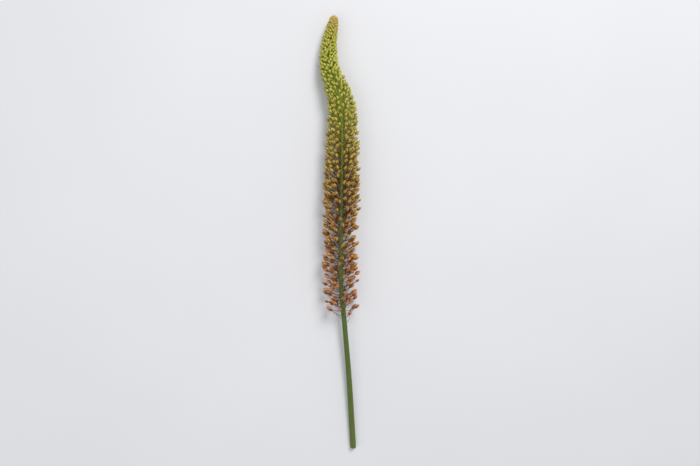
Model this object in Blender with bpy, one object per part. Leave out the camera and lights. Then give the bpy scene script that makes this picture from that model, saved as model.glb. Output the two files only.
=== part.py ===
"""A cut foxtail lily flower spike, laid on its side: a bare green scape, then a raceme of closed
buds on thin stalks, copper at the bottom, golden in the middle and green at the tip.

Metres, +Z up, +X towards the tip. The spike lies on the plane z = 0, and the origin is under the
middle of its box. Places along the spike are given as the distance below its tip.
"""

import math
import random
from collections import namedtuple

import bpy
from mathutils import Quaternion, Vector

UP = Vector((0, 0, 1))
GOLDEN_ANGLE = math.pi * (3 - math.sqrt(5))

# Driving sizes
LENGTH = 0.800  # from the cut end to the tip of the rachis
RACEME = 0.540  # the part of it that carries buds
GAP = 0.0003  # left between two neighbouring solids

# Tables of (distance below the tip, value)
SWAY = [  # the axis to the left and right of a straight line, seen from above
    (0.000, 0.012), (0.040, 0.020), (0.080, 0.020), (0.120, 0.007), (0.151, -0.001), (0.204, -0.002),
    (0.339, 0.000), (0.470, 0.0005), (0.552, -0.006), (0.656, -0.014), (0.800, -0.022),
]
HEIGHT = [  # the axis above the table
    (0.000, 0.0165), (0.100, 0.0205), (0.200, 0.0240), (0.300, 0.0255), (0.430, 0.0250),
    (0.540, 0.0205), (0.680, 0.0110), (0.770, 0.0056), (0.800, 0.0052),
]
STEM_RADIUS = [
    (0.000, 0.0006), (0.012, 0.0012), (0.100, 0.0019), (0.245, 0.0026), (0.340, 0.0036), (0.540, 0.0046),
    (0.800, 0.0056),
]
REACH = [  # from the axis to the tips of the buds, by where their stalks leave it
    (0.000, 0.0022), (0.006, 0.0045), (0.012, 0.0066), (0.030, 0.0106), (0.070, 0.0158), (0.112, 0.0203),
    (0.143, 0.0238), (0.200, 0.0285), (0.255, 0.0325), (0.360, 0.0355), (0.480, 0.0345), (0.540, 0.0310),
]
ASCENT = [  # how far the stalks rise from square to the axis, in degrees
    (0.000, 72.0), (0.030, 56.0), (0.100, 44.0), (0.200, 34.0), (0.300, 26.0), (0.400, 18.0), (0.540, 8.0),
]
BUD_LENGTH = [
    (0.000, 0.0034), (0.030, 0.0054), (0.077, 0.0068), (0.143, 0.0082), (0.200, 0.0090), (0.300, 0.0100),
    (0.420, 0.0108), (0.540, 0.0112),
]
BUD_WIDTH = [
    (0.000, 0.0022), (0.030, 0.0034), (0.077, 0.0043), (0.143, 0.0052), (0.200, 0.0058), (0.300, 0.0065),
    (0.420, 0.0068), (0.540, 0.0069),
]
SPACING = [  # along the axis from one bud to the next
    (0.000, 0.00040), (0.030, 0.00045), (0.080, 0.00045), (0.150, 0.00050), (0.250, 0.00068),
    (0.300, 0.00080), (0.350, 0.00100), (0.420, 0.00140), (0.480, 0.00180), (0.540, 0.00450),
]

# Buds
FIRST_BUD = 0.0015  # below the tip
PITCH_SPREAD = 0.15  # shares by which one bud differs from the next
SIZE_SPREAD = 0.08
TURN_SPREAD = math.radians(5)
ASCENT_SPREAD = 4.0
NOD = 6.0  # degrees by which a bud stands steeper than its stalk
STALK_RADIUS = 0.0006
SHORTEST_STALK = 0.0008
ROOT_DEPTH = 0.65  # how deep a stalk starts inside the rachis, as a share of its radius
LIFTS = [0, 4, 8, 12, 16, 20, 24]  # degrees, tried in turn on a bud that would reach below the table
STEEPEST_DROP = 0.98  # of a stalk's length, how far a bud on the table hangs below its root at most
BUD_SIDES = 6
FULL_PROFILE = [(0.00, 0.20), (0.38, 1.04), (0.74, 0.84)]  # (share of length, share of half width)
SLIM_PROFILE = [(0.00, 0.24), (0.48, 1.08)]

# Each colour of bud is one solid with its stretch of rachis: name, upper and lower end, seed of its
# draws, the share of the real number of buds that it carries, how much larger they are than life,
# profile, colour
Band = namedtuple("Band", "name top bottom seed share growth profile colour")
BANDS = [
    Band("raceme_green_buds", 0.000, 0.215, 1, 0.47, 1.38, SLIM_PROFILE, (0.255, 0.265, 0.035)),
    Band("raceme_golden_buds", 0.215, 0.385, 2, 0.75, 1.08, SLIM_PROFILE, (0.330, 0.205, 0.050)),
    Band("raceme_copper_buds", 0.385, RACEME, 3, 1.00, 1.00, FULL_PROFILE, (0.370, 0.145, 0.060)),
]
BAND_MARGIN = 0.0018  # no stalk leaves the rachis nearer than this to the end of its band
BEND_STEPS = [0, 5, -5, 10, -10, 16, -16, 22, -22, 30, -30]  # degrees round the axis, tried in turn
SCAPE_COLOUR = (0.095, 0.160, 0.040)

# Stem tubes
STEM_SIDES = 10
RING_PITCH = 0.020


def smooth(table, x):
    """The value at x on a smooth curve through the table's points, straight beyond its ends."""
    last = len(table) - 1
    if x <= table[0][0]:
        (x0, y0), (x1, y1) = table[0], table[1]
        return y0 + (x - x0) * (y1 - y0) / (x1 - x0)
    if x >= table[last][0]:
        (x0, y0), (x1, y1) = table[last - 1], table[last]
        return y1 + (x - x1) * (y1 - y0) / (x1 - x0)
    k = max(i for i in range(last) if table[i][0] <= x)

    def slope(i):
        low, high = max(i - 1, 0), min(i + 1, last)
        return (table[high][1] - table[low][1]) / (table[high][0] - table[low][0])

    (x0, y0), (x1, y1) = table[k], table[k + 1]
    width = x1 - x0
    t = (x - x0) / width
    return (
        y0 * (2 * t**3 - 3 * t**2 + 1)
        + y1 * (3 * t**2 - 2 * t**3)
        + slope(k) * width * (t**3 - 2 * t**2 + t)
        + slope(k + 1) * width * (t**3 - t**2)
    )


def axis_point(below):
    return Vector((LENGTH / 2 - below, smooth(SWAY, below), smooth(HEIGHT, below)))


def axis_frame(below):
    """The axis's point at that distance below the tip, and its directions: along, side and over."""
    step = 0.001
    along = (axis_point(below - step) - axis_point(below + step)).normalized()
    side = UP.cross(along).normalized()
    return axis_point(below), along, side, along.cross(side)


def across(direction):
    """Two directions square to the given one, the first of them level."""
    level = UP.cross(direction)
    level = level.normalized() if level.length > 1e-6 else Vector((0, 1, 0))
    return level, direction.cross(level)


Bud = namedtuple("Bud", "below turn ascent length width stalk")


def bud_plan(band):
    """A band's buds from its top down, each a golden angle further round the rachis than the last."""
    draw = random.Random(band.seed)
    plan = []
    below = max(band.top + BAND_MARGIN, FIRST_BUD)
    while below < band.bottom - BAND_MARGIN:
        ascent = smooth(ASCENT, below) + draw.uniform(-ASCENT_SPREAD, ASCENT_SPREAD)
        size = 1 + draw.uniform(-SIZE_SPREAD, SIZE_SPREAD)
        reach = smooth(REACH, below) * (1 + draw.uniform(-SIZE_SPREAD, SIZE_SPREAD))
        turn = len(plan) * GOLDEN_ANGLE + draw.uniform(-TURN_SPREAD, TURN_SPREAD)
        length = smooth(BUD_LENGTH, below) * size * band.growth
        width = smooth(BUD_WIDTH, below) * size * band.growth
        whole = (reach - smooth(STEM_RADIUS, below)) / math.cos(math.radians(ascent))
        plan.append(Bud(below, turn, ascent, length, width, max(whole - length, SHORTEST_STALK)))
        pitch = smooth(SPACING, below) / band.share
        below += pitch * (1 + draw.uniform(-PITCH_SPREAD, PITCH_SPREAD))
    return plan


Pose = namedtuple("Pose", "root neck heading")


def lowest_point(bud, profile, neck, heading):
    """The height of the lowest point of a bud."""
    level = math.sqrt(1 - heading.z**2)
    return min(
        neck.z + share * bud.length * heading.z - wide * bud.width / 2 * level
        for share, wide in [*profile, (1.0, 0.0)]
    )


def bud_pose(bud, profile, bend=0.0):
    """Where a bud's stalk starts and ends, and the bud's own direction. A bud that would reach below
    the table is lifted on its stalk, or lies with one side of its belly flat on the table."""
    centre, along, side, over = axis_frame(bud.below)
    turn = bud.turn + math.radians(bend)
    outward = math.cos(turn) * side + math.sin(turn) * over

    def rising(degrees):
        return math.cos(math.radians(degrees)) * outward + math.sin(math.radians(degrees)) * along

    stem = smooth(STEM_RADIUS, bud.below)
    skin = centre + stem * outward
    root = skin - stem * ROOT_DEPTH * rising(bud.ascent)
    swing = bud.stalk * rising(bud.ascent)
    heading = rising(min(bud.ascent + NOD, 85.0))
    hinge = heading.cross(UP)
    for lift in LIFTS:
        turned = Quaternion(hinge, math.radians(lift))
        neck = skin + turned @ swing
        if lowest_point(bud, profile, neck, turned @ heading) >= 0:
            return Pose(root, neck, turned @ heading)
    return pressed_pose(bud, profile, root, skin, swing)


def pressed_pose(bud, profile, root, skin, swing):
    """The pose of a bud that lies on the table. Its stalk keeps its length and its way over the table."""
    belly = bud.width / 2 * profile[1][1] * math.cos(math.pi / BUD_SIDES)
    level = Vector((swing.x, swing.y, 0)).normalized()
    slope = 0.0
    if len(profile) > 2:
        (share_a, wide_a), (share_b, wide_b) = profile[1], profile[2]
        fall = (wide_a - wide_b) * bud.width / 2 * math.cos(math.pi / BUD_SIDES)
        slope = math.atan2(fall, (share_b - share_a) * bud.length)
    heading = math.cos(slope) * level - math.sin(slope) * UP
    height = belly * math.cos(slope) + profile[1][0] * bud.length * math.sin(slope)
    drop = min(skin.z - height, bud.stalk * STEEPEST_DROP)
    run = math.sqrt(bud.stalk**2 - drop**2)
    neck = skin + run * level
    neck.z = height
    return Pose(root, neck, heading)


def mesh_object(name, points, faces):
    mesh = bpy.data.meshes.new(name)
    mesh.from_pydata(points, [], faces)
    mesh.validate()
    return bpy.data.objects.new(name, mesh)


def ring(centre, direction, radius, sides):
    level, rise = across(direction)
    turns = [2 * math.pi * k / sides for k in range(sides)]
    return [centre + radius * (math.cos(a) * level + math.sin(a) * rise) for a in turns]


def bud_object(bud, pose, profile):
    """A bud on its stalk: a three-sided stalk that widens into a six-sided bud with a pointed tip."""
    stalk_way = (pose.neck - pose.root).normalized()
    points = ring(pose.root, stalk_way, STALK_RADIUS, 3)
    points += ring(pose.neck, (stalk_way + pose.heading).normalized(), STALK_RADIUS, 3)
    faces = [(2, 1, 0)]
    faces += [(k, (k + 1) % 3, 3 + (k + 1) % 3, 3 + k) for k in range(3)]
    for share, wide in profile[1:]:
        centre = pose.neck + share * bud.length * pose.heading
        points += ring(centre, pose.heading, wide * bud.width / 2, BUD_SIDES)
    for k in range(3):
        a, b = 3 + k, 3 + (k + 1) % 3
        low, mid, high = 6 + 2 * k, 7 + 2 * k, 6 + (2 * k + 2) % BUD_SIDES
        faces += [(a, mid, low), (a, b, mid), (b, high, mid)]
    start = 6
    for _ in profile[2:]:
        for k in range(BUD_SIDES):
            nxt = (k + 1) % BUD_SIDES
            faces.append((start + k, start + nxt, start + BUD_SIDES + nxt, start + BUD_SIDES + k))
        start += BUD_SIDES
    points.append(pose.neck + bud.length * pose.heading)
    faces += [(start + k, start + (k + 1) % BUD_SIDES, len(points) - 1) for k in range(BUD_SIDES)]
    return mesh_object("bud", points, faces)


def stem_tube(name, top, bottom):
    """A stretch of the stem as a closed tube from one distance below the tip to another."""
    count = max(2, math.ceil((bottom - top) / RING_PITCH) + 1)
    places = [bottom + (top - bottom) * k / (count - 1) for k in range(count)]
    points = []
    for below in places:
        centre, along, _, _ = axis_frame(below)
        points += ring(centre, along, smooth(STEM_RADIUS, below), STEM_SIDES)
    faces = [tuple(reversed(range(STEM_SIDES)))]
    for row in range(count - 1):
        start = row * STEM_SIDES
        for k in range(STEM_SIDES):
            nxt = (k + 1) % STEM_SIDES
            faces.append((start + k, start + nxt, start + STEM_SIDES + nxt, start + STEM_SIDES + k))
    faces.append(tuple(range((count - 1) * STEM_SIDES, count * STEM_SIDES)))
    return mesh_object(name, points, faces)


def grow_together(trunk, parts):
    """Joins the trunk and everything that grows from it into one solid."""
    group = bpy.data.collections.new(trunk.name + "_parts")
    bpy.context.scene.collection.children.link(group)
    for part in parts:
        group.objects.link(part)
    union = trunk.modifiers.new("grown together", "BOOLEAN")
    union.operation = "UNION"
    union.operand_type = "COLLECTION"
    union.collection = group
    union.solver = "EXACT"
    bpy.context.view_layer.objects.active = trunk
    bpy.ops.object.modifier_apply(modifier=union.name)
    for part in parts:
        bpy.data.objects.remove(part)
    bpy.data.collections.remove(group)


def paint(obj, colour, roughness):
    material = bpy.data.materials.new(obj.name)
    material.use_nodes = True
    shader = material.node_tree.nodes["Principled BSDF"]
    shader.inputs["Base Color"].default_value = (*colour, 1)
    shader.inputs["Roughness"].default_value = roughness
    shader.inputs["Metallic"].default_value = 0.0
    obj.data.materials.clear()
    obj.data.materials.append(material)


def spans(bud, pose):
    """The stalk and the bud as two capsules: (end, other end, radius)."""
    tip = pose.neck + bud.length * pose.heading
    half = bud.width / 2
    return [
        (pose.root, pose.neck, STALK_RADIUS),
        (pose.neck + 0.3 * bud.length * pose.heading, tip - 0.2 * bud.length * pose.heading, half),
    ]


def between(a, b, c, d):
    """The shortest distance between the stretches a to b and c to d."""
    u, v, w = b - a, d - c, a - c
    uu, uv, vv, uw, vw = u.dot(u), u.dot(v), v.dot(v), u.dot(w), v.dot(w)
    grid = uu * vv - uv * uv
    s = min(max((uv * vw - vv * uw) / grid, 0), 1) if grid > 1e-18 else 0.0
    t = min(max((uv * s + vw) / vv, 0), 1)
    s = min(max((uv * t - uw) / uu, 0), 1)
    return (a + s * u - c - t * v).length


def is_clear(mine, others):
    return all(
        between(a, b, c, d) > r + q + GAP for a, b, r in mine for c, d, q in others
    )


def build_band(band, beside):
    """One band of the raceme, and the capsules of its buds. Its buds bend clear of those beside it."""
    top = band.top + (GAP / 2 if band.top else 0)
    trunk = stem_tube(band.name, top, band.bottom - GAP / 2)
    bpy.context.scene.collection.objects.link(trunk)
    parts = []
    capsules = []
    for bud in bud_plan(band):
        for bend in BEND_STEPS:
            pose = bud_pose(bud, band.profile, bend)
            mine = spans(bud, pose)
            if is_clear(mine, beside):
                parts.append(bud_object(bud, pose, band.profile))
                capsules += mine
                break
    grow_together(trunk, parts)
    paint(trunk, band.colour, 0.5)
    return trunk, capsules


def build_scape():
    """The bare stem below the raceme. Its cut end rests on the table."""
    scape = stem_tube("scape", RACEME + GAP / 2, LENGTH)
    for vertex in scape.data.vertices:
        vertex.co.z = max(vertex.co.z, 0.0)
    bpy.context.scene.collection.objects.link(scape)
    paint(scape, SCAPE_COLOUR, 0.45)
    return scape


def centre_on_origin(objects):
    """Moves the meshes sideways so that the origin is under the middle of their box."""
    corners = [vertex.co for obj in objects for vertex in obj.data.vertices]
    middle = Vector((
        (min(c.x for c in corners) + max(c.x for c in corners)) / 2,
        (min(c.y for c in corners) + max(c.y for c in corners)) / 2,
        0,
    ))
    for obj in objects:
        for vertex in obj.data.vertices:
            vertex.co -= middle


def main():
    for obj in list(bpy.data.objects):
        bpy.data.objects.remove(obj)
    objects = [build_scape()]
    beside = []
    for band in BANDS:
        trunk, beside = build_band(band, beside)
        objects.append(trunk)
    centre_on_origin(objects)


main()
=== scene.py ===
import math
import random
from collections import namedtuple

import bpy
from mathutils import Matrix, Quaternion, Vector


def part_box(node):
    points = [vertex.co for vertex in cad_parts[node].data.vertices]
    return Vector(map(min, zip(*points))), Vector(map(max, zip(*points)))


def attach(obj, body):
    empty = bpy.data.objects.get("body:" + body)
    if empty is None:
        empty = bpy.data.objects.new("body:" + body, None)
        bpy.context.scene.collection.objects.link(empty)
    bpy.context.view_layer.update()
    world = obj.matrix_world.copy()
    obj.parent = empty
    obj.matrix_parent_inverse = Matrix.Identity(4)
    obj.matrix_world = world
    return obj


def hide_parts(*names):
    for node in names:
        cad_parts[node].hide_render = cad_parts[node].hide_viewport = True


# A cut foxtail lily spike, lying down: a smooth green stem, and a raceme of closed buds on thin
# stalks, loose and copper at the bottom, golden in the middle, dense and green towards the tip.
# Metres, +Z up, +X towards the tip. Places along the spike are distances below its tip.

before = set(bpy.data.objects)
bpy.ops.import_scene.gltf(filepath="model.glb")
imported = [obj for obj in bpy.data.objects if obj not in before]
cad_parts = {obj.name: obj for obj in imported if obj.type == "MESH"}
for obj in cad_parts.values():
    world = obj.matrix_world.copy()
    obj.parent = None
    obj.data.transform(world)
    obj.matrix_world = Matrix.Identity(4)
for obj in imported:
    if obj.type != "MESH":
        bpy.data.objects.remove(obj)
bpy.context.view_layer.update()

UP = Vector((0, 0, 1))
GOLDEN_ANGLE = math.pi * (3 - math.sqrt(5))

LENGTH = 0.800
RACEME = 0.540
SIDES_OF_SOLID = 10  # of the solid scape's tube

# The line and girth of the stem, as (distance below the tip, value)
SWAY = [
    (0.000, 0.012), (0.040, 0.020), (0.080, 0.020), (0.120, 0.007), (0.151, -0.001), (0.204, -0.002),
    (0.339, 0.000), (0.470, 0.0005), (0.552, -0.006), (0.656, -0.014), (0.800, -0.022),
]
HEIGHT = [
    (0.000, 0.0165), (0.100, 0.0205), (0.200, 0.0240), (0.300, 0.0255), (0.430, 0.0250),
    (0.540, 0.0205), (0.680, 0.0110), (0.770, 0.0058), (0.800, 0.0056),
]
STEM_RADIUS = [
    (0.000, 0.0006), (0.012, 0.0012), (0.100, 0.0019), (0.245, 0.0026), (0.340, 0.0036),
    (0.540, 0.0046), (0.800, 0.0056),
]
STEM_KNOTS = 64
TUBE_STEPS = 5  # from knot to knot
STEM_ROUNDNESS = 14  # bevel steps of the tube
STALK_ROUNDNESS = 1

# How the buds change from the tip down: how far they reach from the stem's line, the degrees by which
# their stalks rise from square to it, and their size and spacing
REACH = [
    (0.000, 0.0008), (0.002, 0.0042), (0.004, 0.0060), (0.012, 0.0089), (0.030, 0.0115), (0.070, 0.0158),
    (0.112, 0.0203), (0.143, 0.0238), (0.200, 0.0285), (0.255, 0.0325), (0.360, 0.0355), (0.480, 0.0345),
    (0.540, 0.0310),
]
ASCENT = [
    (0.000, 76.0), (0.002, 64.0), (0.004, 56.0), (0.012, 49.0), (0.030, 45.0), (0.100, 38.0),
    (0.200, 32.0), (0.300, 27.0), (0.400, 24.0), (0.480, 23.0), (0.540, 28.0),
]
ASCENT_SPREAD = [(0.000, 2.0), (0.100, 4.0), (0.300, 6.0), (0.420, 9.0), (0.540, 12.0)]
BUD_LENGTH = [
    (0.000, 0.0030), (0.015, 0.0042), (0.030, 0.0052), (0.060, 0.0067), (0.100, 0.0080), (0.150, 0.0089),
    (0.200, 0.0097), (0.300, 0.0109), (0.420, 0.0118), (0.540, 0.0122),
]
BUD_WIDTH = [
    (0.000, 0.0021), (0.015, 0.0031), (0.030, 0.0038), (0.060, 0.0047), (0.100, 0.0052), (0.150, 0.0055),
    (0.200, 0.0057), (0.300, 0.0064), (0.420, 0.0068), (0.540, 0.0068),
]
SPACING = [
    (0.000, 0.00013), (0.015, 0.00016), (0.030, 0.00020), (0.060, 0.00028), (0.100, 0.00036),
    (0.150, 0.00042), (0.215, 0.00050), (0.300, 0.00062), (0.350, 0.00075), (0.420, 0.00100),
    (0.480, 0.00130), (0.520, 0.00190), (0.540, 0.00340),
]
AGE_SPREAD = [(0.000, 0.004), (0.060, 0.020), (0.200, 0.050), (0.540, 0.060)]
STALK_RADIUS = [(0.000, 0.00020), (0.050, 0.00032), (0.200, 0.00040), (0.540, 0.00046)]
STALK_GIRTHS = (1.9, 0.95, 1.45)  # of that radius, at the foot, the knee and the bud

# Bands of colour: name, upper end, lower end, seed of their draws, CAD node, material slot
Band = namedtuple("Band", "name top bottom seed node slot")
BANDS = [
    Band("green_buds", 0.000, 0.215, 1, "raceme_green_buds", "green_buds"),
    Band("golden_buds", 0.215, 0.385, 2, "raceme_golden_buds", "golden_buds"),
    Band("copper_buds", 0.385, RACEME, 3, "raceme_copper_buds", "copper_buds"),
]
BAND_MARGIN = 0.0018
FIRST_BUD = 0.0004

# How one bud differs from the next: its spacing, size and reach vary by shares of the values above
PITCH_SPREAD = 0.15
SIZE_SPREAD = 0.08
WIDTHS = (0.93, 1.07)
TURN_SPREAD = math.radians(5)
THIRD_OF_A_TURN = 2.1  # radians, after which the three tepals come round again
LONGEST_REACH = 1.06
REACH_BIAS = 1.6  # over 1, so that most stalks are long
REACH_SPREAD = 0.12
SHORT_STALKS = [(0.000, 0.04), (0.200, 0.08), (0.400, 0.22), (0.540, 0.26)]  # added to that spread
SHORTEST_STALK = 0.0008
STUNTED_FROM = 0.330  # below here some buds have stayed small and turned brown
STUNTED_SHARE = 0.07
STUNTED_LENGTH = 0.72
STUNTED_WIDTH = 0.62
STUNTED_TONE = 1.6

# How a bud stands and keeps clear of the others, with its angles in degrees
STALK_DIP = 14  # by which a stalk leaves the stem flatter than it goes on
NOD = 9.0  # by which a bud stands steeper than its stalk
STEEPEST_BUD = 85.0
LIFTS = [0, 4, 8, 12, 16, 20, 24]  # tried in turn on a bud that would reach below the table
SIDESTEPS = [0, 4, -4, 8, -8, 12, -12]  # round the stem, tried in turn on a bud that would lie in another
PARTING = [(0.000, 0.0), (0.050, 6.0), (0.100, 14.0), (0.200, 15.0), (0.400, 13.0), (0.540, 10.0)]
PARTING_REACH = 62  # from the top, within which buds are combed off it
STEEPEST_DROP = 0.98  # of a stalk's length, how far a bud on the table hangs below its foot at most
NEIGHBOURS = 60  # how many of the last buds a new one keeps clear of
BUD_BALLS = [(0.33, 0.46), (0.66, 0.42)]  # a bud as balls: (share of its length, radius in its widths)

# Stalks that have lost their buds: distance below the tip, degrees round the stem, how steeply they
# rise, length, and how much they bow
BARE_STALKS = [
    (0.545, 195, 62, 0.0180, 0.10), (0.507, 20, 40, 0.0045, 0.05), (0.528, 95, 48, 0.0070, 0.08),
    (0.536, 340, 35, 0.0120, 0.12), (0.553, 140, 55, 0.0040, 0.05),
]
BARE_RADII = (0.00075, 0.00032, 0.00026, 0.00044)  # at the foot, along the thread, under the knob, at it

# Bracts, one under each stalk
BRACT_LENGTH = [
    (0.000, 0.0050), (0.060, 0.0075), (0.200, 0.0084), (0.330, 0.0078), (0.400, 0.0068), (0.540, 0.0050),
]
BRACT_WIDTH = [(0.000, 0.0006), (0.200, 0.0009), (0.330, 0.0012), (0.540, 0.0015)]
BRACT_TURN = math.radians(9)
BRACT_DIP = 17  # degrees by which a bract stands flatter than its stalk
BRACT_LEAN_SPREAD = 4  # degrees
BRACT_LENGTHS = (0.8, 1.15)  # in shares of that length
BRACT_LOWER = 0.4  # of its width, how far it stands below its stalk
BRACT_FOOT = 0.93  # of the stem's radius, how far from its middle a bract starts
BRACT_DRAWS = 41  # the seed of all their draws
BRACT_FLATNESS = 0.3
BRACT_BENDS = [(0.3, -0.2), (0.65, -0.25)]  # (height, how far the blade bends in there)

# The tuft of bracts at the tip, and the scales below the raceme as (distance below the tip, degrees
# round the stem)
TUFT = 70  # bracts
TUFT_DEPTH = 0.0034  # from the topmost of them to the lowest
TUFT_LEAN = 88  # degrees from square to the stem, of the topmost
TUFT_FAN = 27  # degrees by which the lowest lean less
TUFT_LENGTH = 0.0098
TUFT_SHORTER = 0.0010  # by which the lowest are shorter
TUFT_LENGTHS = (0.75, 1.1)  # in shares of that length
TUFT_WIDTH = 0.0009
SCALES = [(0.543, 205), (0.550, 60), (0.560, 135), (0.566, 320), (0.580, 14), (0.584, 164), (0.606, 100)]
SCALE_LEAN = 64  # degrees
SCALE_WIDTH = 0.0024
SCALE_LENGTH = 0.0036

# Girth of a bud along its length, as (share of length, share of half width)
BUD_SHAPE = [
    (0.00, 0.00), (0.045, 0.30), (0.18, 0.74), (0.39, 1.00), (0.61, 0.94), (0.82, 0.60), (0.95, 0.22),
    (1.00, 0.00),
]
BUD_SEGMENTS = 12
KEEL_RISE = 1.03
SEAM_SINK = 0.95

# Tubes: points nearer than this are one, and an end cap meets the sides in an edge sharper than this
CAP_SEAM = 0.000001
CAP_ANGLE = math.radians(75)


def smooth(table, x):
    """The value at x on a smooth curve through the table's points, straight beyond its ends."""
    last = len(table) - 1
    if x <= table[0][0]:
        (x0, y0), (x1, y1) = table[0], table[1]
        return y0 + (x - x0) * (y1 - y0) / (x1 - x0)
    if x >= table[last][0]:
        (x0, y0), (x1, y1) = table[last - 1], table[last]
        return y1 + (x - x1) * (y1 - y0) / (x1 - x0)
    k = max(i for i in range(last) if table[i][0] <= x)

    def slope(i):
        low, high = max(i - 1, 0), min(i + 1, last)
        return (table[high][1] - table[low][1]) / (table[high][0] - table[low][0])

    (x0, y0), (x1, y1) = table[k], table[k + 1]
    width = x1 - x0
    t = (x - x0) / width
    return (
        y0 * (2 * t**3 - 3 * t**2 + 1)
        + y1 * (3 * t**2 - 2 * t**3)
        + slope(k) * width * (t**3 - 2 * t**2 + t)
        + slope(k + 1) * width * (t**3 - t**2)
    )


shift = Vector((0, 0, 0))  # from the line above to the solids' place, found below


def stem_point(below):
    return shift + Vector((LENGTH / 2 - below, smooth(SWAY, below), smooth(HEIGHT, below)))


def stem_way(below):
    """The stem's directions there: along it towards the tip, to its side, and over it."""
    step = 0.001
    along = (stem_point(below - step) - stem_point(below + step)).normalized()
    side = UP.cross(along).normalized()
    return along, side, along.cross(side)


def find_shift():
    """The solids are centred on their box. The cut end's ring holds the scape's lowest X and Y."""
    along, side, over = stem_way(LENGTH)
    turns = [2 * math.pi * k / SIDES_OF_SOLID for k in range(SIDES_OF_SOLID)]
    radius = smooth(STEM_RADIUS, LENGTH)
    cut_ring = [stem_point(LENGTH) + radius * (math.cos(a) * side + math.sin(a) * over) for a in turns]
    low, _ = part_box("scape")
    return Vector((low.x - min(p.x for p in cut_ring), low.y - min(p.y for p in cut_ring), 0))


shift = find_shift()


# Camera, light and table

PICTURE_WIDTH = 700
FOCAL_LENGTH = 650  # in the picture's pixels
FILM_WIDTH = 36  # millimetres
CAMERA_PLACE = (0.207, -0.018, 1.19)
CAMERA_BACK = math.radians(9.0)  # how far it looks back towards the cut end
ROOM_GLOW = 0.50
TABLE_SIZE = 60


def look_along(obj, way, picture_up):
    right = way.cross(picture_up).normalized()
    up = right.cross(way)
    obj.rotation_euler = Matrix((right, up, -way)).transposed().to_euler()


def add_camera():
    camera = bpy.data.objects.new("camera", bpy.data.cameras.new("camera"))
    bpy.context.scene.collection.objects.link(camera)
    camera.data.sensor_width = FILM_WIDTH
    camera.data.lens = FILM_WIDTH * FOCAL_LENGTH / PICTURE_WIDTH
    camera.location = CAMERA_PLACE
    look_along(camera, Vector((-math.sin(CAMERA_BACK), 0, -math.cos(CAMERA_BACK))), Vector((1, 0, 0)))
    bpy.context.scene.camera = camera


def add_light(name, place, target, size, power, colour, spread):
    lamp = bpy.data.lights.new(name, "AREA")
    lamp.shape = "DISK"
    lamp.size = size
    lamp.energy = power
    lamp.color = colour
    lamp.spread = math.radians(spread)
    obj = bpy.data.objects.new(name, lamp)
    bpy.context.scene.collection.objects.link(obj)
    obj.location = place
    look_along(obj, (Vector(target) - Vector(place)).normalized(), Vector((0, 1, 0.2)))


def light_room():
    add_light(
        "window", place=(2.45, -1.15, 2.65), target=(0.05, 0, 0.02), size=1.5, power=38,
        colour=(1.0, 0.99, 0.97), spread=115,
    )
    add_light(
        "room", place=(-0.5, 1.2, 1.7), target=(0, 0, 0.02), size=1.6, power=5,
        colour=(0.98, 0.99, 1.0), spread=180,
    )
    world = bpy.data.worlds.new("pale room")
    bpy.context.scene.world = world
    world.use_nodes = True
    world.node_tree.nodes["Background"].inputs["Color"].default_value = (1.0, 1.0, 1.0, 1)
    world.node_tree.nodes["Background"].inputs["Strength"].default_value = ROOM_GLOW
    bpy.context.scene.view_settings.view_transform = "Standard"


# Materials

def shade(red, green, blue):
    """A colour given in the 0 to 255 of a colour chart, as Blender's scene-linear colour."""
    def linear(value):
        value /= 255
        return value / 12.92 if value <= 0.04045 else ((value + 0.055) / 1.055) ** 2.4
    return (linear(red), linear(green), linear(blue), 1)


class Socket:
    """A shader socket that can stand in a sum, as a number can."""

    def __init__(self, finish, link):
        self.finish = finish
        self.link = link

    def maths(self, operation, first, second):
        return self.finish.node("ShaderNodeMath", {"operation": operation}, {0: first, 1: second})

    def __add__(self, other):
        return self.maths("ADD", self, other)

    def __sub__(self, other):
        return self.maths("SUBTRACT", self, other)

    def __rsub__(self, other):
        return self.maths("SUBTRACT", other, self)

    def __mul__(self, other):
        return self.maths("MULTIPLY", self, other)

    def __truediv__(self, other):
        return self.maths("DIVIDE", self, other)

    __radd__ = __add__
    __rmul__ = __mul__

    def beside(self, output):
        """Another output of the same node."""
        return Socket(self.finish, self.link.node.outputs[output])

    def between(self, low, high, interpolation):
        values = {0: self, 1: low, 2: high, 3: 0.0, 4: 1.0}
        return self.finish.node("ShaderNodeMapRange", {"interpolation_type": interpolation}, values)

    def clamped(self):
        return self.between(0.0, 1.0, "LINEAR")

    def rising(self, low, high):
        """0 where this is at low, 1 where it is at high, and smooth between them."""
        return self.between(low, high, "SMOOTHSTEP")


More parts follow.
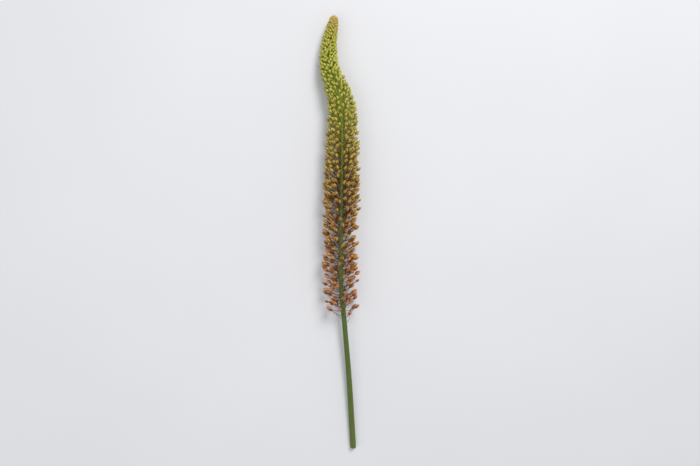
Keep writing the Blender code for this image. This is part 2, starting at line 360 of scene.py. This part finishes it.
class Finish:
    """A material that is being made."""

    def __init__(self, name, own_values):
        self.material = bpy.data.materials.new(name)
        self.material.use_nodes = True
        self.tree = self.material.node_tree
        self.shader = self.tree.nodes["Principled BSDF"]
        for socket, value in own_values.items():
            self.shader.inputs[socket].default_value = value

    def node(self, kind, settings=None, values=None, output=0):
        made = self.tree.nodes.new(kind)
        for name, value in (settings or {}).items():
            setattr(made, name, value)
        for socket, value in (values or {}).items():
            self.feed(made.inputs[socket], value)
        return Socket(self, made.outputs[output])

    def feed(self, socket, value):
        if isinstance(value, Socket):
            self.tree.links.new(value.link, socket)
        else:
            socket.default_value = value

    def mixed(self, share, first, second, blend="MIX"):
        settings = {"data_type": "RGBA", "blend_type": blend, "clamp_factor": True}
        return self.node("ShaderNodeMix", settings, {0: share, 6: first, 7: second}, 2)

    def tinted(self, share, colour, tint):
        """The colour with a share of it darkened by a tint."""
        return self.mixed(share, colour, self.mixed(1.0, colour, tint, "MULTIPLY"))

    def ramp(self, place, stops):
        """Colours from a list of (place, (red, green, blue))."""
        made = self.node("ShaderNodeValToRGB", {}, {"Fac": place})
        elements = made.link.node.color_ramp.elements
        while len(elements) < len(stops):
            elements.new(1.0)
        for element, (position, colour) in zip(elements, stops):
            element.position = position
            element.color = shade(*colour)
        return made

    def place(self):
        return self.node("ShaderNodeTexCoord", {}, {}, "Object")

    def noise(self, scale, detail=2.0, stretch=None, roughness=0.5):
        at = self.place()
        if stretch:
            at = self.node("ShaderNodeMapping", {}, {"Vector": at, "Scale": stretch})
        values = {"Vector": at, "Scale": scale, "Detail": detail, "Roughness": roughness}
        return self.node("ShaderNodeTexNoise", {}, values)

    def age(self):
        """0 at the tip of the raceme and 1 at its lowest bud, by the place along the spike."""
        at = self.node("ShaderNodeSeparateXYZ", {}, {"Vector": self.place()})
        return ((LENGTH / 2 + shift.x) - at) / RACEME

    def show(self, colour, roughness, relief=None, depth=0.0):
        self.feed(self.shader.inputs["Base Color"], colour)
        self.feed(self.shader.inputs["Roughness"], roughness)
        if relief is not None:
            values = {"Height": relief, "Strength": 1.0, "Distance": depth}
            self.feed(self.shader.inputs["Normal"], self.node("ShaderNodeBump", {}, values))
        return self.material


# Colours by age, from the tip's buds at 0 to the lowest at 1
LOWER_COLOURS = [
    (0.00, (200, 158, 78)), (0.03, (171, 165, 50)), (0.10, (160, 186, 54)), (0.22, (156, 178, 54)),
    (0.34, (160, 164, 52)), (0.46, (164, 148, 50)), (0.60, (160, 126, 46)), (0.75, (160, 110, 48)),
    (0.88, (160, 100, 52)), (1.00, (158, 96, 60)),
]
# Paler, for a bud's outer end: partly its own colour and partly painted highlight
OUTER_AND_HIGHLIGHT_COLOURS = [
    (0.00, (224, 175, 110)), (0.03, (187, 179, 72)), (0.10, (181, 182, 76)), (0.22, (180, 178, 76)),
    (0.34, (174, 168, 74)), (0.50, (167, 144, 65)), (0.65, (173, 132, 58)), (0.85, (188, 131, 72)),
    (1.00, (192, 127, 88)),
]
# Pale tepal edges: partly their own colour and partly painted highlight
EDGE_AND_HIGHLIGHT_COLOURS = [
    (0.00, (224, 190, 140)), (0.06, (200, 202, 114)), (0.20, (206, 212, 122)), (0.34, (206, 206, 120)),
    (0.50, (201, 182, 105)), (0.65, (202, 169, 90)), (0.85, (210, 158, 97)), (1.00, (216, 158, 112)),
]
KEEL_COLOURS = [
    (0.00, (140, 88, 46)), (0.08, (146, 132, 40)), (0.28, (130, 110, 29)), (0.42, (122, 82, 22)),
    (0.58, (112, 58, 18)), (0.75, (102, 46, 18)), (1.00, (88, 38, 18)),
]
STALK_COLOURS = [
    (0.00, (196, 180, 80)), (0.10, (206, 226, 84)), (0.24, (190, 204, 74)), (0.34, (160, 150, 48)),
    (0.44, (110, 74, 24)), (0.58, (72, 36, 14)), (1.00, (56, 29, 22)),
]
STALK_FOOT_COLOURS = [
    (0.00, (190, 186, 80)), (0.12, (194, 214, 90)), (0.26, (168, 180, 74)), (0.37, (132, 124, 48)),
    (0.46, (94, 62, 26)), (0.58, (66, 34, 18)), (1.00, (56, 30, 24)),
]
BRACT_COLOURS = [
    (0.00, (220, 178, 166)), (0.012, (182, 124, 108)), (0.04, (200, 166, 86)), (0.14, (190, 196, 80)),
    (0.28, (154, 154, 58)), (0.38, (120, 88, 40)), (0.50, (84, 52, 32)), (1.00, (62, 40, 30)),
]

# The stem's green, from the tip at 0 to just beyond the cut end at 1
STEM_COLOURS = [
    (0.00, (186, 192, 90)), (0.12, (198, 232, 104)), (0.24, (164, 186, 80)), (0.33, (130, 148, 62)),
    (0.45, (104, 121, 53)), (0.68, (81, 98, 43)), (0.85, (84, 101, 40)), (1.00, (94, 108, 50)),
]
STEM_COLOURS_END = 1.5  # the age at their last stop

TRANSLUCENT = {"Subsurface Weight": 0.7, "Subsurface Radius": (1.0, 0.9, 0.25), "Subsurface Scale": 0.006}


def bud_skin(name):
    """Three tepals shut tight, each with a dark keel and pale edges, darker at the neck and the tip and
    paler towards the outer end. The pale edges and the paler outer end are partly the bud's own colour and
    partly painted highlight.
    """
    skin = Finish(name, {"Specular IOR Level": 0.4, **TRANSLUCENT})
    mark = skin.node("ShaderNodeAttribute", {"attribute_name": "marks"}, {}, "Color")
    keel = skin.node("ShaderNodeSeparateColor", {}, {"Color": mark}, "Red")
    up_bud = keel.beside("Green")
    age = keel.beside("Blue")
    tone = mark.beside("Alpha")
    grain = skin.noise(2600, 3.0)
    dark = skin.ramp(age, KEEL_COLOURS)
    edge = (1 - keel).rising(0.35, 0.98)
    rib = keel.rising(0.66, 0.92) * up_bud.rising(0.10, 0.35)
    seam = (1 - keel).rising(0.92, 1.0) * 0.3
    neck = (1 - up_bud).rising(0.84, 0.98) * age.rising(0.25, 0.55)
    point = up_bud.rising(0.88, 1.0) * 0.75
    lower = skin.ramp(age, LOWER_COLOURS)
    outer = skin.ramp(age, OUTER_AND_HIGHLIGHT_COLOURS)
    # Paler towards the outer end: partly the bud's own colour, partly painted highlight
    colour = skin.mixed(up_bud.rising(0.25, 0.85), lower, outer)
    # Pale tepal edges, stronger towards the outer end: partly own colour, partly painted highlight
    colour = skin.mixed(edge * (0.5 + 0.5 * up_bud), colour, skin.ramp(age, EDGE_AND_HIGHLIGHT_COLOURS))
    colour = skin.tinted(tone * 0.45, colour, shade(222, 198, 160))
    darkness = rib * (0.65 + 0.5 * grain) + seam + neck * 0.8 + point
    colour = skin.mixed(darkness.clamped(), colour, dark)
    colour = skin.mixed((0.48 - grain).clamped(), colour, dark)
    return skin.show(colour, 0.34 + grain * 0.25, grain * 0.15 + keel * 0.5, 0.0003)


def stalk_skin():
    """Green next to the stem high up, with the colour of the buds further out, and dark brown low down."""
    skin = Finish("stalk_skin", {"Specular IOR Level": 0.35, **TRANSLUCENT})
    grain = skin.noise(1800, 2.0)
    outward = skin.node("ShaderNodeAttribute", {"attribute_name": "outward"}, {}, "Fac")
    age = skin.age()
    foot = skin.ramp(age, STALK_FOOT_COLOURS)
    colour = skin.mixed(outward.rising(0.05, 0.7), foot, skin.ramp(age, STALK_COLOURS))
    colour = skin.tinted((grain - 0.45).clamped() * 1.2, colour, shade(150, 120, 110))
    return skin.show(colour, 0.40 + grain * 0.25, grain, 0.0001)


def stem_skin():
    """Fresh green with fine lengthwise streaks and a few dark flecks, and a pale pith in its cut end."""
    skin = Finish("stem_skin", {"Specular IOR Level": 0.3})
    streak = skin.noise(1.0, 3.0, (16, 1300, 1300), 0.6)
    cloud = skin.noise(34, 3.0, (0.5, 1, 1))
    fine = skin.noise(4200, 2.0)
    fleck = skin.noise(420, 1.0, (0.35, 1, 1))
    age = skin.age()
    colour = skin.ramp(age / STEM_COLOURS_END, STEM_COLOURS)
    colour = skin.mixed(streak.rising(0.48, 0.74) * 0.35, colour, shade(132, 154, 82))
    colour = skin.mixed((1 - streak).rising(0.50, 0.74) * 0.35, colour, shade(58, 82, 34))
    colour = skin.mixed((cloud - 0.42).clamped() * 1.1, colour, shade(76, 100, 42))
    colour = skin.mixed(fleck.rising(0.70, 0.76) * 0.6, colour, shade(64, 66, 34))
    at_cut = (age * RACEME).rising(LENGTH - 0.0005, LENGTH - 0.0002)
    colour = skin.mixed(at_cut, colour, cut_face(skin))
    return skin.show(colour, 0.36 + cloud * 0.2 + at_cut * 0.2, streak * 0.7 + fine * 0.12, 0.0002)


def cut_face(skin):
    """The cut across the stem: pale pith with darker strands in it, inside a thin green rim."""
    ends = {0: skin.place(), 1: tuple(stem_point(LENGTH))}
    from_middle = skin.node("ShaderNodeVectorMath", {"operation": "DISTANCE"}, ends, "Value")
    spots = {"Vector": skin.place(), "Scale": 1300.0}
    from_strand = skin.node("ShaderNodeTexVoronoi", {"feature": "F1"}, spots, "Distance")
    pith = skin.mixed(from_strand.rising(0.12, 0.45), shade(128, 138, 74), shade(204, 208, 156))
    rim = (from_middle / smooth(STEM_RADIUS, LENGTH)).rising(0.84, 0.93)
    return skin.mixed(rim, pith, shade(112, 138, 66))


def bract_skin():
    """Papery and withered low down, tan with a pink blush at the tip."""
    skin = Finish("bract_skin", {"Specular IOR Level": 0.25})
    grain = skin.noise(2400, 2.0)
    colour = skin.ramp(skin.age(), BRACT_COLOURS)
    colour = skin.tinted((grain - 0.4).clamped(), colour, shade(180, 150, 130))
    return skin.show(colour, 0.55 + grain * 0.3, grain, 0.0001)


def table_skin():
    """Pale and matt, with faint clouds."""
    skin = Finish("table_top", {"Specular IOR Level": 0.2})
    cloud = skin.noise(3.0, 3.0)
    colour = skin.mixed(cloud, shade(224, 225, 230), shade(231, 232, 236))
    return skin.show(colour, 0.7 + cloud * 0.1)


# Modelling helpers

def deselect_all():
    if bpy.context.object and bpy.context.object.mode != "OBJECT":
        bpy.ops.object.mode_set(mode="OBJECT")
    bpy.ops.object.select_all(action="DESELECT")


def start_shaping(piece):
    """Puts the new primitive's place into its mesh and opens it for editing, nothing selected."""
    deselect_all()
    piece.select_set(True)
    bpy.context.view_layer.objects.active = piece
    bpy.ops.object.transform_apply(location=True, rotation=True, scale=True)
    bpy.ops.object.mode_set(mode="EDIT")
    bpy.ops.mesh.select_all(action="DESELECT")


def pick(piece, wanted):
    """Selects the points that the test on their place wants, and nothing else."""
    bpy.ops.mesh.select_all(action="DESELECT")
    bpy.ops.object.mode_set(mode="OBJECT")
    for point in piece.data.vertices:
        point.select = wanted(point.co)
    bpy.ops.object.mode_set(mode="EDIT")


def finish_shaping(piece):
    bpy.ops.mesh.select_all(action="SELECT")
    bpy.ops.mesh.normals_make_consistent(inside=False)
    bpy.ops.object.mode_set(mode="OBJECT")
    bpy.ops.object.shade_smooth()
    piece.select_set(False)


def standing(at, way, side, wide, tall):
    """The place of a copy of a piece modelled upright: its foot, its upward way, a side, its size."""
    up = way.normalized()
    across = (side - up * side.dot(up)).normalized()
    deep = up.cross(across)
    turn = Matrix((across, deep, up)).transposed().to_4x4()
    return Matrix.Translation(at) @ turn @ Matrix.Diagonal((wide, wide, tall, 1))


def copy_to(model, matrix):
    """A copy of a modelled piece with its own mesh, put in its place."""
    copy = model.copy()
    copy.data = model.data.copy()
    copy.data.transform(matrix)
    bpy.context.scene.collection.objects.link(copy)
    return copy


def join(name, copies, material):
    """Makes one piece of many copies."""
    deselect_all()
    for copy in copies:
        copy.select_set(True)
    bpy.context.view_layer.objects.active = copies[0]
    bpy.ops.object.join()
    piece = bpy.context.object
    piece.name = name
    piece.data.name = name
    piece.data.materials.clear()
    piece.data.materials.append(material)
    piece.select_set(False)
    return piece


# The plan of the raceme

Bud = namedtuple("Bud", "below turn ascent length width stalk roll age tone comb")
Pose = namedtuple("Pose", "skin neck leaving heading")


def bud_plan(band):
    """A band's buds from its top down, each a golden angle further round the stem than the last."""
    draw = random.Random(band.seed)
    looks = random.Random(band.seed + 100)
    combs = random.Random(band.seed + 200)
    plan = []
    below = band.top + BAND_MARGIN if band.top else FIRST_BUD
    while below < band.bottom - BAND_MARGIN:
        ascent = smooth(ASCENT, below) + draw.uniform(-1, 1) * smooth(ASCENT_SPREAD, below)
        size = 1 + draw.uniform(-SIZE_SPREAD, SIZE_SPREAD)
        shortness = draw.random() ** REACH_BIAS * (REACH_SPREAD + smooth(SHORT_STALKS, below))
        reach = smooth(REACH, below) * (LONGEST_REACH - shortness)
        turn = len(plan) * GOLDEN_ANGLE + draw.uniform(-TURN_SPREAD, TURN_SPREAD)
        length = smooth(BUD_LENGTH, below) * size
        width = smooth(BUD_WIDTH, below) * size * draw.uniform(*WIDTHS)
        stunted = below > STUNTED_FROM and looks.random() < STUNTED_SHARE
        if stunted:
            length *= STUNTED_LENGTH
            width *= STUNTED_WIDTH
        whole = (reach - smooth(STEM_RADIUS, below)) / math.cos(math.radians(ascent))
        stalk = max(whole - length, SHORTEST_STALK)
        age = min(max(below / RACEME + looks.uniform(-1, 1) * smooth(AGE_SPREAD, below), 0), 1)
        tone = STUNTED_TONE if stunted else looks.random()
        comb = smooth(PARTING, below) * combs.random()
        roll = looks.uniform(0, THIRD_OF_A_TURN)
        plan.append(Bud(below, turn, ascent, length, width, stalk, roll, age, tone, comb))
        below += smooth(SPACING, below) * (1 + draw.uniform(-PITCH_SPREAD, PITCH_SPREAD))
    return plan


def parted(bud, turn):
    """The bud's turn, combed away from the line along the top, where the stem shows through."""
    from_top = math.degrees(math.remainder(turn - math.pi / 2, 2 * math.pi))
    if abs(from_top) > PARTING_REACH:
        return turn
    combed = bud.comb + abs(from_top) * (1 - bud.comb / PARTING_REACH)
    return math.pi / 2 + math.radians(math.copysign(combed, from_top))


def lowest_point(bud, neck, heading):
    level = math.sqrt(max(1 - heading.z**2, 0))
    return min(
        neck.z + share * bud.length * heading.z - girth * bud.width / 2 * level for share, girth in BUD_SHAPE
    )


def bud_pose(bud, sidestep):
    """Where a bud's stalk leaves the stem and ends, and the bud's own direction. A bud that would
    reach below the table is lifted on its stalk, or lies on it."""
    centre = stem_point(bud.below)
    along, side, over = stem_way(bud.below)
    turn = parted(bud, bud.turn + math.radians(sidestep))
    outward = math.cos(turn) * side + math.sin(turn) * over

    def rising(degrees):
        return math.cos(math.radians(degrees)) * outward + math.sin(math.radians(degrees)) * along

    skin = centre + smooth(STEM_RADIUS, bud.below) * outward
    swing = bud.stalk * rising(bud.ascent)
    leaving = rising(bud.ascent - STALK_DIP)
    heading = rising(min(bud.ascent + NOD, STEEPEST_BUD))
    hinge = heading.cross(UP)
    for lift in LIFTS:
        turned = Quaternion(hinge, math.radians(lift))
        neck = skin + turned @ swing
        if lowest_point(bud, neck, turned @ heading) >= 0:
            return Pose(skin, neck, leaving, turned @ heading)
    level = Vector((swing.x, swing.y, 0)).normalized()
    height = bud.width / 2
    drop = min(skin.z - height, bud.stalk * STEEPEST_DROP)
    neck = skin + math.sqrt(bud.stalk**2 - drop**2) * level
    neck.z = height
    return Pose(skin, neck, leaving, level)


def balls(bud, pose):
    """A bud as two balls, to keep buds out of each other."""
    return [
        (pose.neck + share * bud.length * pose.heading, bud.width * radius) for share, radius in BUD_BALLS
    ]


def room(mine, others):
    """The least distance between two sets of balls, less than nothing where they meet."""
    return min(((a - b).length - r - q for a, r in mine for b, q in others), default=1.0)


def settle(plan):
    """Poses for the plan's buds. A bud that would lie in a neighbour steps round the stem a little."""
    poses = []
    taken = []
    for bud in plan:
        near = [ball for pair in taken[-NEIGHBOURS:] for ball in pair]
        best = None
        for sidestep in SIDESTEPS:
            pose = bud_pose(bud, sidestep)
            mine = balls(bud, pose)
            space = room(mine, near)
            if best is None or space > best[0]:
                best = (space, pose, mine)
            if space > 0:
                break
        poses.append(best[1])
        taken.append(best[2])
    return poses


# The pieces

def from_keel(place):
    """Steps of 30 degrees from the nearest of a bud's three keels: 2 is the seam between two tepals."""
    if place.xy.length < 1e-3:
        return 1
    step = round(math.degrees(math.atan2(place.y, place.x)) / 30) % 4
    return min(step, 4 - step)


def model_bud():
    """One bud, upright, a metre long and wide: three outer tepals, keeled, shut to a pointed tip."""
    bpy.ops.mesh.primitive_uv_sphere_add(
        segments=BUD_SEGMENTS, ring_count=len(BUD_SHAPE) - 1, radius=0.5, location=(0, 0, 0.5)
    )
    bud = bpy.context.object
    start_shaping(bud)
    rings = sorted({round(point.co.z, 4) for point in bud.data.vertices})
    for height, (share, girth) in list(zip(rings, BUD_SHAPE))[1:-1]:
        now = math.sqrt(0.25 - (height - 0.5) ** 2)
        grow = girth * 0.5 / now
        pick(bud, lambda co: abs(co.z - height) < 1e-3)
        bpy.ops.transform.resize(value=(grow, grow, 1), center_override=(0, 0, height))
        bpy.ops.transform.translate(value=(0, 0, share - height))
    pick(bud, lambda co: from_keel(co) == 0)
    bpy.ops.transform.resize(value=(KEEL_RISE, KEEL_RISE, 1), center_override=(0, 0, 0.5))
    pick(bud, lambda co: from_keel(co) == 2)
    bpy.ops.transform.resize(value=(SEAM_SINK, SEAM_SINK, 1), center_override=(0, 0, 0.5))
    finish_shaping(bud)
    marks = bud.data.attributes.new("marks", "FLOAT_COLOR", "POINT")
    for point, mark in zip(bud.data.vertices, marks.data):
        mark.color = (1 - from_keel(point.co) / 2, point.co.z, 0, 0)
    return bud


def make_buds(model, band, plan, poses):
    """A band's buds as one piece."""
    copies = []
    for bud, pose in zip(plan, poses):
        side = Quaternion(pose.heading, bud.roll) @ pose.heading.orthogonal()
        copy = copy_to(model, standing(pose.neck, pose.heading, side, bud.width, bud.length))
        for mark in copy.data.attributes["marks"].data:
            keel, up_bud, _, _ = mark.color
            mark.color = (keel, up_bud, bud.age, bud.tone)
        copies.append(copy)
    return join(band.name, copies, bud_skin(band.name + "_skin"))


def curve_tubes(name, lines, material, roundness):
    """Tubes along smooth lines, each a list of (point, handle before, handle after, radius)."""
    curve = bpy.data.curves.new(name, "CURVE")
    curve.dimensions = "3D"
    curve.bevel_depth = 1.0
    curve.bevel_resolution = roundness
    curve.use_fill_caps = True
    for points in lines:
        spline = curve.splines.new("BEZIER")
        spline.resolution_u = TUBE_STEPS
        spline.bezier_points.add(len(points) - 1)
        for knot, (at, before, after, radius) in zip(spline.bezier_points, points):
            knot.co = at
            knot.handle_left_type = knot.handle_right_type = "FREE"
            knot.handle_left = before
            knot.handle_right = after
            knot.radius = radius
    piece = bpy.data.objects.new(name, curve)
    bpy.context.scene.collection.objects.link(piece)
    deselect_all()
    piece.select_set(True)
    bpy.context.view_layer.objects.active = piece
    bpy.ops.object.convert(target="MESH")
    bpy.ops.object.mode_set(mode="EDIT")
    bpy.ops.mesh.select_all(action="SELECT")
    bpy.ops.mesh.remove_doubles(threshold=CAP_SEAM)
    bpy.ops.mesh.normals_make_consistent(inside=False)
    bpy.ops.object.mode_set(mode="OBJECT")
    bpy.ops.object.shade_smooth_by_angle(angle=CAP_ANGLE, keep_sharp_edges=False)
    piece = bpy.context.object
    piece.data.materials.clear()
    piece.data.materials.append(material)
    piece.select_set(False)
    return piece


def stalk_line(bud, pose):
    """A stalk's line: it starts inside the stem, leaves it rather flat and curves up into its bud."""
    radius = smooth(STALK_RADIUS, bud.below)
    foot_girth, knee_girth, top_girth = STALK_GIRTHS
    foot = pose.skin - smooth(STEM_RADIUS, bud.below) * 0.5 * pose.leaving
    pull = max((pose.neck - pose.skin).length, 0.001) / 3
    knee = pose.skin + pull * 0.5 * pose.leaving
    top = pose.neck + 0.05 * bud.length * pose.heading
    return [
        (foot, foot, foot + 0.5 * (knee - foot), radius * foot_girth),
        (knee, knee - pull * 0.35 * pose.leaving, knee + pull * 0.9 * pose.leaving, radius * knee_girth),
        (top, top - pull * pose.heading, top, radius * top_girth),
    ]


def bare_line(below, turn, ascent, length, droop):
    """The line of a stalk that has lost its bud: a thread with a small dry knob at its end."""
    along, side, over = stem_way(below)
    outward = math.cos(math.radians(turn)) * side + math.sin(math.radians(turn)) * over
    rise = math.radians(ascent)
    way = math.cos(rise) * outward + math.sin(rise) * along
    foot = stem_point(below) + smooth(STEM_RADIUS, below) * 0.7 * outward
    start = foot + smooth(STEM_RADIUS, below) * 0.3 * outward
    end = start + length * way
    bow = droop * length * (outward - along)
    at_foot, at_thread, at_neck, at_knob = BARE_RADII
    return [
        (foot, foot, start, at_foot),
        (start + 0.12 * length * way + 0.4 * bow, start, start + 0.4 * length * way + bow, at_thread),
        (end - 0.06 * length * way, end - 0.4 * length * way + 0.5 * bow, end, at_neck),
        (end, end, end, at_knob),
    ]


def mark_outward(piece):
    """Marks how far out each point is, 0 at the stem's skin and 1 where the buds end."""
    marks = piece.data.attributes.new("outward", "FLOAT", "POINT")
    for point, mark in zip(piece.data.vertices, marks.data):
        below = LENGTH / 2 + shift.x - point.co.x
        radius = smooth(STEM_RADIUS, below)
        mark.value = ((point.co - stem_point(below)).length - radius) / (smooth(REACH, below) - radius)


def make_stalks(plan, poses):
    """All stalks, those that have lost their buds too, as one piece."""
    lines = [stalk_line(bud, pose) for bud, pose in zip(plan, poses)]
    lines += [bare_line(*bare) for bare in BARE_STALKS]
    stalks = curve_tubes("stalks", lines, stalk_skin(), STALK_ROUNDNESS)
    mark_outward(stalks)
    return stalks


def make_stem():
    """The whole stem, from its cut end to the tip, as one piece."""
    third = LENGTH / STEM_KNOTS / 3
    line = []
    for k in range(STEM_KNOTS + 1):
        below = LENGTH - LENGTH * k / STEM_KNOTS
        along, _, _ = stem_way(below)
        at = stem_point(below)
        line.append((at, at - third * along, at + third * along, smooth(STEM_RADIUS, below)))
    return curve_tubes("stem", [line], stem_skin(), STEM_ROUNDNESS)


def model_bract():
    """One bract, upright, a metre long and wide: a narrow keeled blade that tapers to a point."""
    bpy.ops.mesh.primitive_cone_add(vertices=4, radius1=0.5, depth=1, location=(0, 0, 0.5))
    bract = bpy.context.object
    start_shaping(bract)
    for height, _ in BRACT_BENDS:
        bpy.ops.mesh.select_all(action="SELECT")
        bpy.ops.mesh.bisect(plane_co=(0, 0, height), plane_no=(0, 0, 1))
    bpy.ops.mesh.select_all(action="SELECT")
    bpy.ops.transform.resize(value=(BRACT_FLATNESS, 1, 1), center_override=(0, 0, 0))
    for height, bend in BRACT_BENDS:
        pick(bract, lambda co: abs(co.z - height) < 1e-3)
        bpy.ops.transform.translate(value=(bend, 0, 0))
    finish_shaping(bract)
    return bract


def bract_copy(model, below, turn, lean, wide, tall):
    """A bract on the stem, leaning the given degrees from straight out towards the tip. Nothing is
    made where it would reach below the table."""
    along, side, over = stem_way(below)
    outward = math.cos(turn) * side + math.sin(turn) * over
    way = math.cos(math.radians(lean)) * outward + math.sin(math.radians(lean)) * along
    foot = stem_point(below) + smooth(STEM_RADIUS, below) * BRACT_FOOT * outward
    if (foot + tall * way).z < wide / 2:
        return None
    return copy_to(model, standing(foot, way, -along, wide, tall))


def make_bracts(model, plan):
    """A bract under each stalk, long and narrow high up and a short dark scale low down, a tuft of
    them at the tip, and a few scales below the lowest bud."""
    draw = random.Random(BRACT_DRAWS)
    copies = []
    for bud in plan:
        tall = smooth(BRACT_LENGTH, bud.below) * draw.uniform(*BRACT_LENGTHS)
        wide = smooth(BRACT_WIDTH, bud.below)
        lean = bud.ascent - BRACT_DIP + draw.uniform(-BRACT_LEAN_SPREAD, BRACT_LEAN_SPREAD)
        turn = parted(bud, bud.turn) + draw.uniform(-1, 1) * BRACT_TURN
        copies.append(bract_copy(model, bud.below + wide * BRACT_LOWER, turn, lean, wide, tall))
    for k in range(TUFT):
        share = (k + 0.5) / TUFT
        lean = TUFT_LEAN - TUFT_FAN * share + draw.uniform(-BRACT_LEAN_SPREAD, BRACT_LEAN_SPREAD)
        tall = (TUFT_LENGTH - TUFT_SHORTER * share) * draw.uniform(*TUFT_LENGTHS)
        copies.append(bract_copy(model, TUFT_DEPTH * share, k * GOLDEN_ANGLE, lean, TUFT_WIDTH, tall))
    for below, turn in SCALES:
        turn = math.radians(turn)
        copies.append(bract_copy(model, below, turn, SCALE_LEAN, SCALE_WIDTH, SCALE_LENGTH))
    return join("bracts", [copy for copy in copies if copy], bract_skin())


def make_table():
    bpy.ops.mesh.primitive_plane_add(size=TABLE_SIZE, location=(0, 0, 0))
    table = bpy.context.object
    table.name = "table_top"
    table.data.materials.append(table_skin())
    table.select_set(False)


def main():
    add_camera()
    light_room()
    deselect_all()
    make_table()
    bud_model = model_bud()
    bract_model = model_bract()
    whole_plan = []
    whole_poses = []
    for band in BANDS:
        plan = bud_plan(band)
        poses = settle(plan)
        buds = make_buds(bud_model, band, plan, poses)
        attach(buds, "root")
        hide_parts(band.node)
        whole_plan += plan
        whole_poses += poses
    stem = make_stem()
    stalks = make_stalks(whole_plan, whole_poses)
    bracts = make_bracts(bract_model, whole_plan)
    bpy.data.objects.remove(bud_model)
    bpy.data.objects.remove(bract_model)
    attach(stem, "root")
    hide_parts("scape")
    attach(stalks, "root")
    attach(bracts, "root")


main()
